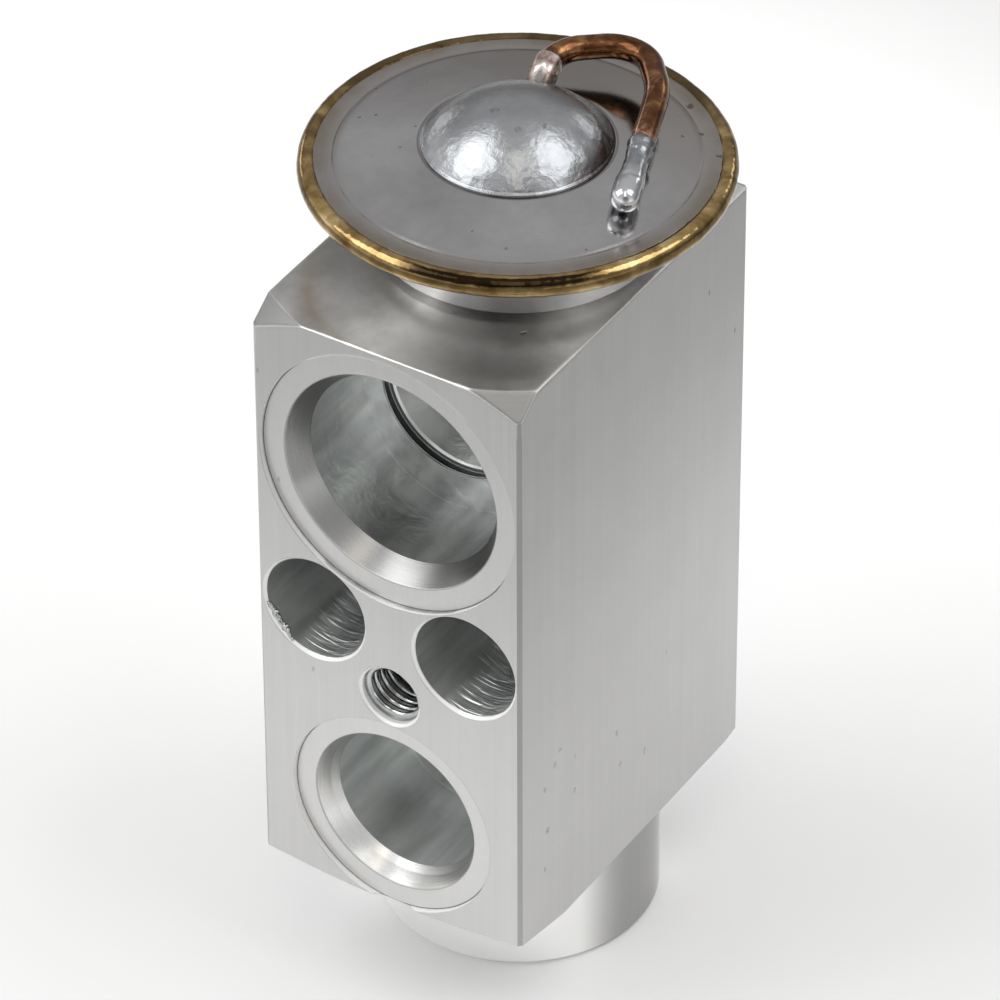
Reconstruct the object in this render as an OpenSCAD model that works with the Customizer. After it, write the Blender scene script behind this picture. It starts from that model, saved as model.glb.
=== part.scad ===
// Block expansion valve: a turned and drilled bar with a diaphragm head, a push rod, a ball valve and its spring.
// The origin is on the valve axis, in the plane of the stub's end, and the face with the stud hole looks to -Y.

/* [Block] */
// Width of the block across the ports
block_w = 27.5; // [26.9:0.1:32]
// Depth of the block along the ports
block_d = 38.4; // [37.6:0.2:44]
// Height of the block without its stub
block_h = 62.3; // [61.8:0.1:66]
// Distance from the front face back to the valve axis
axis_back = 21.8; // [21.2:0.1:22.4]
// Small chamfer along the four upright edges
edge_cut = 0.35; // [0.1:0.05:0.4]
// Radius of the turned top where the corner cut starts
top_turn_r = 23.4; // [22.4:0.1:24.6]
// Slope of the turned cut over the top corners, in degrees
top_turn_slope = 40; // [30:1:48]
// Radius of the turned bottom where its slope starts
base_turn_r = 19.8; // [18.6:0.1:20.6]
// Slope of the turned bottom, in degrees
base_turn_slope = 13.2; // [10:0.2:15]

/* [Stub] */
// Diameter of the round stub under the block
stub_d = 26.4; // [25:0.1:27.4]
// Length of the stub
stub_len = 11.9; // [11.2:0.1:14]
// Chamfer round the end of the stub
stub_cut = 0.5; // [0.2:0.1:1]

/* [Suction ports] */
// Depth of the suction axis under the top
suction_drop = 14; // [13.9:0.05:14.4]
// Diameter of the flat recess round a suction port
suction_face_d = 26.5; // [25:0.1:26.6]
// Diameter of the mouth of a suction port
suction_mouth_d = 22; // [21.4:0.1:23.4]
// Diameter where the mouth's slope steepens
suction_lead_d = 20.3; // [20.2:0.1:21.2]
// Diameter of a suction port's bore
suction_bore_d = 19.4; // [19:0.1:19.8]
// Depth of the front suction bore
suction_front_depth = 11.5; // [10.5:0.1:11.6]
// Depth of the back suction bore
suction_back_depth = 7.4; // [6:0.1:7.4]
// Height of the passage's axis over the axis of the suction ports
passage_rise = 1.7; // [1:0.1:1.8]
// Diameter of the passage between the suction ports
passage_d = 15; // [14:0.1:15.2]
// Bevel round both ends of the passage
passage_cut = 0.2; // [0.1:0.05:0.4]
// Diameter of the lip at the bottom of the front suction bore
lip_d = 15.6; // [15.2:0.1:15.8]
// Thickness of that lip
lip_t = 0.3; // [0.2:0.05:0.5]
// Diameter of the groove behind the lip
groove_d = 16.2; // [16:0.1:16.6]
// Width of that groove
groove_w = 1; // [0.6:0.1:1.1]

/* [Liquid ports] */
// Depth of the front liquid axis under the top
inlet_drop = 51.5; // [51.2:0.05:51.6]
// Diameter of the flat recess round the front liquid port
inlet_face_d = 21.1; // [19:0.1:21.1]
// Diameter of the front liquid port's mouth
inlet_mouth_d = 16.9; // [16.2:0.1:18]
// Diameter where the front liquid mouth's slope steepens
inlet_lead_d = 15.6; // [15.4:0.1:16]
// Diameter of the front liquid bore
inlet_bore_d = 14.8; // [14:0.1:15.2]
// Depth of the front liquid bore
inlet_depth = 13; // [10:0.1:13.4]
// Diameter of the hole from the front liquid bore to the ball chamber
inlet_hole_d = 6; // [5:0.1:6.4]
// Depth of the back liquid axis under the top
outlet_drop = 42.7; // [42.4:0.1:43.4]
// Diameter of the flat recess round the back liquid port
outlet_face_d = 17; // [16:0.1:17.2]
// Diameter of the back liquid port's mouth
outlet_mouth_d = 14.6; // [14.2:0.1:15.4]
// Diameter where the back liquid mouth's slope steepens
outlet_lead_d = 13.5; // [13.4:0.1:14]
// Diameter of the back liquid bore
outlet_bore_d = 12.8; // [12:0.1:13.2]
// Depth of the back liquid bore
outlet_depth = 8; // [6:0.1:9]
// Diameter of the hole from the valve axis to the back liquid bore
outlet_hole_d = 4.8; // [4:0.1:4.8]

/* [Port mouths] */
// Depth of the flat recess round each port
face_depth = 0.6; // [0.3:0.05:0.8]
// Depth from the recess to where the mouth's slope steepens
lead_depth = 1.5; // [1.3:0.1:2.4]
// Depth from there to the bore
lead_end_depth = 0.8; // [0.5:0.1:1.4]

/* [Fixing holes] */
// Diameter of the two plain holes through the block
screw_hole_d = 10.4; // [9.4:0.1:10.5]
// Distance of each plain hole from the middle
screw_hole_x = 7.85; // [7.7:0.05:8]
// Depth of the plain holes' axis under the top
screw_hole_drop = 31.05; // [30.9:0.05:31.4]
// Chamfer round the plain holes
screw_hole_cut = 0.3; // [0.1:0.05:0.3]
// Diameter of the stud hole, over its thread
stud_hole_d = 6; // [5.6:0.1:6.2]
// Diameter of the stud hole's mouth
stud_mouth_d = 6.5; // [6.3:0.1:6.6]
// Depth of the stud hole
stud_hole_depth = 12; // [9:0.1:12.6]
// Depth of the stud hole's axis under the top
stud_hole_drop = 37.7; // [37.5:0.05:37.8]

/* [Ball chamber] */
// Diameter of the ball chamber
chamber_d = 12.4; // [12:0.1:13]
// Height of the ball chamber's roof over the stub's end
chamber_top = 26; // [25:0.1:26.2]
// Diameter of the thread bore in the stub
stub_bore_d = 15.4; // [14.6:0.1:17]
// Depth of the thread bore in the stub
stub_bore_depth = 6.9; // [6.9:0.1:8]
// Chamfer at the mouth of the thread bore
stub_bore_cut = 0.9; // [0.4:0.1:1.2]

/* [Valve seat and ball] */
// Outside diameter of the seat ring
seat_d = 9; // [8:0.1:10]
// Height of the seat ring
seat_h = 3; // [2.4:0.1:3.2]
// Diameter of the seat's orifice
orifice_d = 3.5; // [3:0.1:3.6]
// Diameter of the seat's bevel at the ball
seat_bevel_d = 5; // [4.6:0.1:6]
// Diameter of the ball
ball_d = 5.2; // [4.6:0.1:5.6]
// Gap between the closed ball and its seat, and between ball and rod tip
contact_gap = 0.02; // [0.01:0.01:0.05]

/* [Ball holder and spring] */
// Diameter of the ball holder's head
holder_head_d = 6.4; // [5.6:0.1:7]
// Height of the holder's head over its flange
holder_head_h = 2.2; // [1.8:0.1:2.6]
// Depth that the ball sinks into its holder
ball_sink = 1.7; // [1.2:0.1:2]
// Diameter of the holder's flange
holder_flange_d = 10.6; // [10:0.1:10.8]
// Thickness of the holder's flange
holder_flange_t = 1.1; // [0.8:0.1:1.4]
// Diameter of the holder's guide stem
holder_stem_d = 4.8; // [4:0.1:6]
// Length of the holder's guide stem
holder_stem_len = 3.4; // [2:0.1:4]
// Mean diameter of the spring
spring_d = 8.2; // [7.8:0.1:8.6]
// Wire diameter of the spring
spring_wire = 1.4; // [1:0.1:1.6]
// Number of turns of the spring
spring_turns = 4; // [3:1:5]

/* [Damper] */
// Thickness of the damper's sheet
damper_t = 0.3; // [0.2:0.05:0.35]
// Number of legs on the damper
damper_legs = 4; // [3:1:6]
// Width of a damper leg
damper_leg_w = 2.2; // [1.4:0.1:3]
// Length of a damper leg
damper_leg_len = 2.6; // [1.6:0.1:3]

/* [Adjusting screw] */
// Height of the screw's lower face over the stub's end
screw_inset = 1.2; // [1:0.1:1.6]
// Length of the screw's threaded part
screw_thread_len = 5; // [3.6:0.1:5]
// Height of the face that carries the spring, over the screw's lower face
screw_len = 10.4; // [10:0.1:10.8]
// Width of the hexagon socket across its flats
socket_af = 8; // [6:0.1:9]
// Depth of the hexagon socket
socket_depth = 5.5; // [4.4:0.1:6]
// Height of the seal groove over the screw's lower face
screw_groove_z = 7.7; // [7:0.1:8]
// Width of the seal groove
screw_groove_w = 1.4; // [1.3:0.1:1.6]
// Diameter at the bottom of the seal groove
screw_groove_d = 10; // [9.6:0.1:10.2]

/* [Push rod] */
// Diameter of the push rod
rod_d = 3; // [2.6:0.1:3.2]
// Diameter of the rod's tip in the orifice
rod_tip_d = 1.8; // [1.4:0.1:2.2]
// Length of the rod's tip
rod_tip_len = 2.6; // [2:0.1:3]
// Depth that the rod enters the stem of the stop plate
rod_socket = 4; // [3:0.1:6]
// Radial running clearance of the push rod
rod_gap = 0.04; // [0.02:0.01:0.08]
// Diameter of the seal pocket in the floor of the passage
seal_pocket_d = 6.4; // [6:0.1:6.8]
// Depth of the seal pocket under the passage's lowest line
seal_pocket_depth = 2.9; // [2.8:0.1:3.2]
// Thickness of the rod seal's round section
rod_seal_t = 1.56; // [1.4:0.01:1.56]
// Thickness of the ring that keeps the rod seal in
seal_keeper_t = 0.4; // [0.3:0.05:0.8]
// Number of teeth round the keeper ring
keeper_teeth = 6; // [4:1:10]

/* [Head] */
// Diameter of the head's neck in the block
neck_d = 17.8; // [17:0.1:18]
// Length of the neck in the block
neck_len = 3.5; // [3:0.1:3.6]
// Bore of the neck
neck_bore_d = 12; // [10:0.1:13]
// Width of the step under the neck
neck_step = 0.5; // [0.3:0.05:0.8]
// Gap between the neck's end and that step
neck_gap = 0.2; // [0.1:0.05:0.3]
// Diameter of the head's foot on the block
foot_d = 25.7; // [25:0.1:26.4]
// Bevel under the foot's edge
foot_cut = 0.57; // [0.3:0.01:0.8]
// Height of the foot's straight wall
foot_h = 3.2; // [2.8:0.1:3.4]
// Width and height of the flare over the foot
flare_w = 1.4; // [1.2:0.1:1.6]
flare_h = 1.5; // [1.3:0.1:1.7]
// Depth of the hollow over the stop plate
hollow_h = 1.25; // [1.1:0.05:1.4]
// Height of the diaphragm's underside over the block
diaphragm_z = 7.37; // [7.2:0.01:7.6]
// Thickness of the diaphragm
diaphragm_t = 0.16; // [0.1:0.01:0.2]
// Depth of the diaphragm's waves
diaphragm_wave = 0.22; // [0.1:0.01:0.26]
// Radius where the diaphragm is clamped
clamp_r = 15.6; // [15.2:0.1:16]
// Edge radius of the two head shells
shell_r = 18.1; // [17.6:0.1:18.4]
// Thickness of the head shells at the rim
shell_t = 0.77; // [0.6:0.01:0.9]
// Radius of the step on the upper shell
step_r = 16.2; // [16:0.1:16.6]
// Height of the step on the upper shell
step_h = 0.15; // [0.1:0.01:0.3]
// Rise of the upper shell from its rim to the dome
shell_rise = 1.42; // [1.2:0.01:1.6]
// Radius of the opening in the upper shell under the dome
shell_open_r = 4; // [3:0.1:6]
// Section radius of the weld bead round the rim
bead_r = 1; // [0.9:0.02:1.2]
// Distance of the bead's centre outside the shells' edge
bead_out = 0.25; // [0.1:0.01:0.4]
// Section thickness of the seal under the foot
head_seal_t = 1.2; // [1:0.05:1.25]
// Diameter of the bevel that holds the head seal
head_seal_bevel_d = 22.4; // [22.2:0.1:23]

/* [Stop plate] */
// Diameter of the plate under the diaphragm
plate_d = 24; // [20:0.1:24.4]
// Thickness of the plate
plate_t = 1.9; // [1.4:0.1:2]
// Diameter of the plate's stem
stem_d = 6; // [5:0.1:7]
// Distance of the stem's end below the suction axis
stem_drop = 3; // [1:0.1:4]
// Travel of the plate from the closed valve down to its stop ledge
lift = 0.8; // [0.6:0.05:1]

/* [Dome and charge tube] */
// Radius of the dome's base
dome_r = 8.55; // [8:0.05:8.9]
// Height of the dome
dome_h = 4.25; // [3.8:0.05:4.6]
// Thickness of the dome's sheet
dome_t = 0.9; // [0.6:0.05:1.2]
// Outside diameter of the charge tube
tube_d = 2.26; // [2:0.02:2.3]
// Bore of the charge tube
tube_bore_d = 1.2; // [0.8:0.1:1.4]
// Distance of the tube's foot to the left of the valve axis
foot_left = 1.4; // [1.2:0.05:1.6]
// Distance of the tube's foot behind the valve axis
foot_back = 5.4; // [5.2:0.05:5.6]
// Height of the tube's foot over the dome's base
foot_up = 1.5; // [1.4:0.05:1.6]
// Distance of the tube's first corner to the left of the axis
first_left = 3.1; // [2.8:0.1:3.4]
// Distance of the tube's first corner behind the axis
first_back = 11; // [10.8:0.1:11.2]
// Height of the tube's first corner over the dome's base
first_up = 2.1; // [1.9:0.05:2.3]
// Distance of the tube's far corner to the right of the axis
far_right = 3.2; // [2.9:0.1:3.5]
// Distance of the tube's far corner behind the axis
far_back = 16.2; // [15.9:0.1:16.5]
// Height of the tube's far corner over the dome's base
far_up = 2; // [1.8:0.05:2.2]
// Distance of the tube's lower corner to the right of the axis
low_right = 8.1; // [7.9:0.05:8.3]
// Distance of the tube's lower corner behind the axis
low_back = 10.3; // [10.1:0.1:10.5]
// Height of the tube's lower corner over the dome's base
low_up = 2.1; // [1.9:0.05:2.3]
// Distance of the solder drop to the right of the axis
drop_right = 12.95; // [12.6:0.05:13.2]
// Distance of the solder drop in front of the axis
drop_front = 3.3; // [3:0.1:3.6]
// Height of the solder drop over the dome's base
drop_up = 0.8; // [0.7:0.05:1.2]
// Length of the solder from its start to the drop
drop_len = 7.3; // [5:0.1:8]
// Radii of the tube's three bends
first_bend = 3.8; // [3.4:0.1:4]
far_bend = 3.8; // [3.4:0.1:4]
low_bend = 9.8; // [8:0.2:10]
// Wall of the tinned collar round the tube's foot
collar_t = 0.12; // [0.1:0.01:0.2]
// Angle of the top bend that the collar covers
collar_angle = 14; // [10:1:30]
// Radius of the solder drop on the tube's end
drop_r = 1.32; // [1.25:0.01:1.36]
// Length of tube inside the solder
drop_socket = 1.3; // [0.8:0.1:2]

/* [Hidden] */
$fn = 64;
fit = 0.02;
thread_gap = 0.05;
over = 1;
lap = 0.08;
swell = 0.01;
top_z = stub_len + block_h;
front_y = -axis_back;
back_y = block_d - axis_back;
suction_z = top_z - suction_drop;
inlet_z = top_z - inlet_drop;
outlet_z = top_z - outlet_drop;
screw_hole_z = top_z - screw_hole_drop;
stud_hole_z = top_z - stud_hole_drop;
passage_z = suction_z + passage_rise;
passage_floor = passage_z - passage_d / 2;
pocket_z = passage_floor - seal_pocket_depth;
seat_top = chamber_top + seat_h;
bevel_h = (seat_bevel_d - orifice_d) / 2;
ball_touch_r = ball_d / 2 * sin(45);
ball_z = chamber_top + seat_bevel_d / 2 - ball_touch_r - ball_d / 2 * cos(45) - contact_gap;
rod_z = ball_z + ball_d / 2 + contact_gap;
holder_top = ball_z - ball_d / 2 + ball_sink;
flange_top = holder_top - holder_head_h;
spring_top = flange_top - holder_flange_t;
spring_base = screw_inset + screw_len;
plate_top = top_z + diaphragm_z - fit;
ledge_z = diaphragm_z - plate_t - lift - 2 * fit;
stem_z = suction_z - stem_drop;
rod_top = stem_z + rod_socket;
clamp_z = top_z + diaphragm_z;
upper_z = clamp_z + diaphragm_t;
rim_top = upper_z + shell_t;
rim_low = clamp_z - shell_t;
rim_mid = (rim_top + rim_low) / 2;
dome_z = rim_top + shell_rise;
dome_ball_r = (dome_r * dome_r + dome_h * dome_h) / (2 * dome_h);
dome_ball_z = dome_z + dome_h - dome_ball_r;
// Corners of the charge tube's route, with the bend at each
TUBE = [
    [-foot_left, foot_back, dome_z + foot_up], [-first_left, first_back, dome_z + first_up],
    [far_right, far_back, dome_z + far_up], [low_right, low_back, dome_z + low_up],
    [drop_right, -drop_front, dome_z + drop_up]
];
BEND = [0, first_bend, far_bend, low_bend, 0];

function unit(v) = v / norm(v);
function heading(i) = unit(TUBE[i + 1] - TUBE[i]);
function turn(i) = acos(heading(i - 1) * heading(i));
function reach(i) = BEND[i] == 0 ? 0 : BEND[i] * tan(turn(i) / 2);
function leg_start(i) = TUBE[i] + heading(i) * reach(i);
function leg_end(i) = TUBE[i + 1] - heading(i) * reach(i + 1);
function solder_start() = TUBE[4] - heading(3) * drop_len;

// Places what stands on the origin along +Z at point p, along direction d
module along(p, d) {
    side = abs(d[2]) > 0.9 ? [1, 0, 0] : [0, 0, 1];
    x = unit(cross(side, d));
    y = cross(d, x);
    multmatrix([[x[0], y[0], d[0], p[0]], [x[1], y[1], d[1], p[1]], [x[2], y[2], d[2], p[2]], [0, 0, 0, 1]])
        children();
}

// Round bend at corner i of the charge tube's route, or its first part
module bend(i, r, angle) {
    u = heading(i - 1);
    v = heading(i);
    n = unit(cross(u, v));
    start = TUBE[i] - u * reach(i);
    x = cross(u, n);
    c = start - x * BEND[i];
    multmatrix([[x[0], u[0], n[0], c[0]], [x[1], u[1], n[1], c[1]], [x[2], u[2], n[2], c[2]], [0, 0, 0, 1]])
        rotate_extrude(angle = angle) translate([BEND[i], 0]) circle(r = r);
}

// Solid rod of radius r along the charge tube's route, from its foot to a point inside the solder
module tube_route(r) {
    along(leg_start(0), heading(0)) cylinder(r = r, h = norm(leg_end(0) - leg_start(0)) + lap);
    for (i = [1, 2])
        along(leg_start(i) - heading(i) * lap, heading(i))
            cylinder(r = r, h = norm(leg_end(i) - leg_start(i)) + 2 * lap);
    for (i = [1 : 3])
        bend(i, r + swell, turn(i));
    along(leg_start(3) - heading(3) * lap, heading(3))
        cylinder(r = r, h = norm(solder_start() - leg_start(3)) + drop_socket + lap);
}

// Ring with a round section, centred at height z
module round_ring(mid_r, section_r, z) {
    translate([0, 0, z]) rotate_extrude() translate([mid_r, 0]) circle(r = section_r, $fn = 32);
}

// Coil along +Z with flat ends inside its height
module coil(mean_r, wire_r, height, turns) {
    steps = 24;
    sides = 10;
    count = turns * steps;
    rise = height - 2 * wire_r;
    points = [
        for (i = [0 : count]) let (a = 360 * i / steps, z = wire_r + rise * i / count)
            for (j = [0 : sides - 1]) let (b = 360 * j / sides, r = mean_r + wire_r * cos(b))
                [r * cos(a), r * sin(a), z + wire_r * sin(b)]
    ];
    walls = [
        for (i = [0 : count - 1]) for (j = [0 : sides - 1])
            let (k = (j + 1) % sides)
                [i * sides + j, (i + 1) * sides + j, (i + 1) * sides + k, i * sides + k]
    ];
    ends = [[for (j = [0 : sides - 1]) j], [for (j = [0 : sides - 1]) (count + 1) * sides - 1 - j]];
    polyhedron(points, concat(walls, ends));
}

// Cutter for a port, with its face in the plane z = 0 and its depth along -Z
module port_cut(face_d, mouth_d, lead_d, bore_d, depth) {
    lead_z = face_depth + lead_depth;
    bore_z = lead_z + lead_end_depth;
    rotate_extrude() polygon([
        [0, over], [face_d / 2, over], [face_d / 2, -face_depth], [mouth_d / 2, -face_depth],
        [lead_d / 2, -lead_z], [bore_d / 2, -bore_z], [bore_d / 2, -depth], [0, -depth]
    ]);
}

module from_front(x, z) {
    translate([x, front_y, z]) rotate([90, 0, 0]) children();
}

module from_back(x, z) {
    translate([x, back_y, z]) rotate([-90, 0, 0]) children();
}

// Block with chamfered upright edges, turned over at its top and bottom
module block() {
    far = norm([block_w, block_d]);
    base_rise = (far - base_turn_r) * tan(base_turn_slope);
    top_fall = (far - top_turn_r) * tan(top_turn_slope);
    x = block_w / 2;
    intersection() {
        translate([0, 0, stub_len]) linear_extrude(block_h) polygon([
            [-x + edge_cut, front_y], [x - edge_cut, front_y], [x, front_y + edge_cut], [x, back_y - edge_cut],
            [x - edge_cut, back_y], [-x + edge_cut, back_y], [-x, back_y - edge_cut], [-x, front_y + edge_cut]
        ]);
        rotate_extrude($fn = 128) polygon([
            [0, stub_len], [base_turn_r, stub_len], [far, stub_len + base_rise], [far, top_z - top_fall],
            [top_turn_r, top_z], [0, top_z]
        ]);
    }
}

module stub() {
    r = stub_d / 2;
    rotate_extrude() polygon([
        [0, 0], [r - stub_cut, 0], [r, stub_cut], [r, stub_len + over], [0, stub_len + over]
    ]);
}

// Suction passage with the ports at both of its ends
module suction_cut() {
    passage_r = passage_d / 2;
    lip_z = suction_front_depth + lip_t;
    groove_z = lip_z + groove_w;
    from_front(0, suction_z)
        port_cut(suction_face_d, suction_mouth_d, suction_lead_d, suction_bore_d, suction_front_depth);
    from_front(0, passage_z) rotate_extrude() polygon([
        [0, over - suction_front_depth], [lip_d / 2, over - suction_front_depth], [lip_d / 2, -lip_z],
        [groove_d / 2, -lip_z], [groove_d / 2, -groove_z], [passage_r + passage_cut, -groove_z],
        [passage_r, -groove_z - passage_cut], [0, -groove_z - passage_cut]
    ]);
    from_back(0, suction_z)
        port_cut(suction_face_d, suction_mouth_d, suction_lead_d, suction_bore_d, suction_back_depth);
    from_back(0, passage_z) rotate_extrude() polygon([
        [0, over - suction_back_depth], [passage_r + passage_cut, over - suction_back_depth],
        [passage_r + passage_cut, -suction_back_depth], [passage_r, -suction_back_depth - passage_cut],
        [0, -suction_back_depth - passage_cut]
    ]);
    translate([0, front_y + suction_front_depth, passage_z]) rotate([-90, 0, 0])
        cylinder(r = passage_r, h = block_d - suction_front_depth - suction_back_depth);
}

// Front liquid port and its hole into the ball chamber
module inlet_cut() {
    from_front(0, inlet_z) {
        port_cut(inlet_face_d, inlet_mouth_d, inlet_lead_d, inlet_bore_d, inlet_depth);
        translate([0, 0, -axis_back]) cylinder(d = inlet_hole_d, h = axis_back - inlet_depth + over);
    }
}

// Back liquid port and its hole to the valve axis
module outlet_cut() {
    from_back(0, outlet_z) {
        port_cut(outlet_face_d, outlet_mouth_d, outlet_lead_d, outlet_bore_d, outlet_depth);
        translate([0, 0, -back_y]) cylinder(d = outlet_hole_d, h = back_y - outlet_depth + over);
    }
}

// Plain hole through the block, chamfered at both faces
module screw_hole_cut(x) {
    r = screw_hole_d / 2;
    from_front(x, screw_hole_z) rotate_extrude() polygon([
        [0, over], [r + screw_hole_cut, over], [r + screw_hole_cut, 0], [r, -screw_hole_cut],
        [r, -block_d + screw_hole_cut], [r + screw_hole_cut, -block_d], [r + screw_hole_cut, -block_d - over],
        [0, -block_d - over]
    ]);
}

// Blind stud hole with its countersunk mouth and drill point
module stud_hole_cut() {
    r = stud_hole_d / 2;
    mouth_r = stud_mouth_d / 2;
    from_front(0, stud_hole_z) rotate_extrude() polygon([
        [0, over], [mouth_r, over], [mouth_r, 0], [r, r - mouth_r], [r, -stud_hole_depth],
        [0, -stud_hole_depth - r / 2]
    ]);
}

// Bores along the valve axis: thread, ball chamber, seat, rod, seal pocket and head
module axis_cut() {
    thread_r = stub_bore_d / 2;
    neck_r = neck_d / 2 + thread_gap;
    bevel_r = head_seal_bevel_d / 2;
    rotate_extrude() polygon([
        [0, -over], [thread_r + stub_bore_cut, -over], [thread_r + stub_bore_cut, 0],
        [thread_r, stub_bore_cut], [thread_r, stub_bore_depth], [0, stub_bore_depth]
    ]);
    cylinder(d = chamber_d, h = chamber_top);
    cylinder(r = seat_d / 2, h = seat_top);
    cylinder(d = orifice_d + 0.9, h = outlet_z);
    cylinder(r = rod_d / 2 + rod_gap, h = pocket_z + over);
    translate([0, 0, pocket_z]) cylinder(d = seal_pocket_d, h = suction_z - pocket_z);
    translate([0, 0, suction_z]) cylinder(d = neck_bore_d + 2 * neck_step, h = top_z - suction_z);
    translate([0, 0, top_z - neck_len - neck_gap]) cylinder(r = neck_r, h = neck_len + over);
    translate([0, 0, top_z]) rotate_extrude() polygon([
        [0, over], [bevel_r, over], [bevel_r, 0], [neck_r, neck_r - bevel_r], [0, neck_r - bevel_r]
    ]);
}

module valve_body() {
    color([0.78, 0.79, 0.8]) difference() {
        union() {
            block();
            stub();
        }
        suction_cut();
        inlet_cut();
        outlet_cut();
        for (side = [-1, 1])
            screw_hole_cut(side * screw_hole_x);
        stud_hole_cut();
        axis_cut();
    }
}

// Turned lower half of the head, with its neck, foot, stop ledge and flange
module lower_shell() {
    foot_r = foot_d / 2;
    neck_r = neck_d / 2;
    plate_room = plate_d / 2 + 0.6;
    ledge_in = (neck_bore_d + plate_d) / 4 + 0.5;
    flange = rim_low - top_z;
    clamp = clamp_z - top_z;
    color([0.72, 0.72, 0.7]) translate([0, 0, top_z]) rotate_extrude() polygon([
        [neck_bore_d / 2, -neck_len], [neck_r - 0.3, -neck_len], [neck_r, -neck_len + 0.3], [neck_r, 0],
        [foot_r - foot_cut, 0], [foot_r, foot_cut], [foot_r, foot_h], [foot_r + flare_w / 5, foot_h + flare_h / 2],
        [foot_r + flare_w, foot_h + flare_h], [shell_r - 0.9, flange - 0.25], [shell_r, flange], [shell_r, clamp],
        [clamp_r, clamp], [plate_room, clamp - hollow_h], [plate_room, ledge_z], [ledge_in, ledge_z],
        [ledge_in, foot_h - 0.6], [neck_bore_d / 2, foot_h - 0.6]
    ]);
}

// Pressed upper half of the head, from its stepped rim up to the dome
module upper_shell() {
    color([0.6, 0.6, 0.6]) translate([0, 0, rim_top]) rotate_extrude() polygon([
        [shell_open_r, shell_rise - shell_t], [dome_r, shell_rise - shell_t], [clamp_r - 0.4, step_h - shell_t],
        [clamp_r, -shell_t], [shell_r, -shell_t], [shell_r, 0], [step_r, 0], [step_r - 0.3, step_h],
        [dome_r + 0.4, shell_rise], [shell_open_r, shell_rise]
    ]);
}

// Weld bead round the edges of the two shells
module rim_weld() {
    color([0.66, 0.52, 0.28]) rotate_extrude($fn = 96) difference() {
        translate([shell_r + bead_out, rim_mid]) circle(r = bead_r, $fn = 48);
        translate([shell_r - 2 * bead_r, rim_low - fit]) square([2 * bead_r + fit, rim_top - rim_low + 2 * fit]);
    }
}

// Thin waved sheet between the shells
module diaphragm() {
    flat_r = plate_d / 2 - 0.6;
    steps = 16;
    span = clamp_r - flat_r;
    wave = [for (i = [0 : steps]) let (s = i / steps)
        [flat_r + span * s, clamp_z - diaphragm_wave * (1 - cos(720 * s)) / 2]];
    lower = concat([[0, clamp_z]], wave, [[shell_r, clamp_z]]);
    upper = [for (i = [len(lower) - 1 : -1 : 0]) lower[i] + [0, diaphragm_t]];
    color([0.75, 0.75, 0.74]) rotate_extrude() polygon(concat(lower, upper));
}

// Hollow dome over the upper shell's opening, with the tube's hole in its back flank
module dome_cap() {
    color([0.66, 0.68, 0.7]) difference() {
        translate([0, 0, dome_ball_z]) sphere(r = dome_ball_r, $fn = 96);
        translate([0, 0, dome_ball_z]) sphere(r = dome_ball_r - dome_t, $fn = 96);
        translate([-dome_ball_r, -dome_ball_r, dome_ball_z - 2 * dome_ball_r])
            cube([2 * dome_ball_r, 2 * dome_ball_r, dome_z - dome_ball_z + 2 * dome_ball_r]);
        along(TUBE[0] - heading(0), heading(0)) cylinder(r = tube_d / 2 + fit, h = norm(TUBE[1] - TUBE[0]));
    }
}

module charge_tube() {
    color([0.5, 0.3, 0.2]) difference() {
        tube_route(tube_d / 2, $fn = 24);
        tube_route(tube_bore_d / 2, $fn = 16);
    }
}

// Tinned collar round the tube's foot and the start of its bend, cut to the dome
module tube_collar() {
    inner_r = tube_d / 2 + fit;
    leg = norm(leg_end(0) - TUBE[0]);
    color([0.78, 0.7, 0.68]) difference() {
        union() {
            along(TUBE[0], heading(0)) cylinder(r = inner_r + collar_t, h = leg + lap);
            bend(1, inner_r + collar_t + swell, collar_angle, $fn = 24);
        }
        along(TUBE[0] - heading(0), heading(0)) cylinder(r = inner_r, h = leg + lap + over);
        bend(1, inner_r + swell, turn(1), $fn = 24);
        translate([0, 0, dome_ball_z]) sphere(r = dome_ball_r + fit, $fn = 96);
    }
}

// Solder that closes the tube's end, a cone that swells into a drop
module tube_solder() {
    color([0.8, 0.82, 0.84]) difference() {
        along(solder_start(), heading(3)) {
            cylinder(r1 = tube_d / 2 + 0.12, r2 = drop_r - 0.04, h = drop_len);
            translate([0, 0, drop_len]) sphere(r = drop_r, $fn = 48);
        }
        along(solder_start() - heading(3), heading(3)) cylinder(r = tube_d / 2 + fit, h = drop_socket + fit + over);
    }
}

module head_seal() {
    color([0.12, 0.12, 0.12])
        round_ring(neck_d / 2 + head_seal_t / 2 + fit, head_seal_t / 2, top_z - head_seal_t / 2 - fit);
}

// Plate under the diaphragm, with the stem that feels the suction gas and holds the rod
module stop_plate() {
    plate_r = plate_d / 2;
    stem_r = stem_d / 2;
    plate_low = plate_top - plate_t;
    color([0.7, 0.71, 0.72]) difference() {
        rotate_extrude() polygon([
            [0, stem_z], [stem_r - 0.4, stem_z], [stem_r, stem_z + 0.4], [stem_r, plate_low - 0.6],
            [stem_r + 0.8, plate_low], [plate_r - 0.3, plate_low], [plate_r, plate_low + 0.3],
            [plate_r, plate_top - 0.8], [plate_r - 0.8, plate_top], [0, plate_top]
        ]);
        translate([0, 0, stem_z - over]) cylinder(r = rod_d / 2 + fit, h = rod_socket + fit + over);
    }
}

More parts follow.
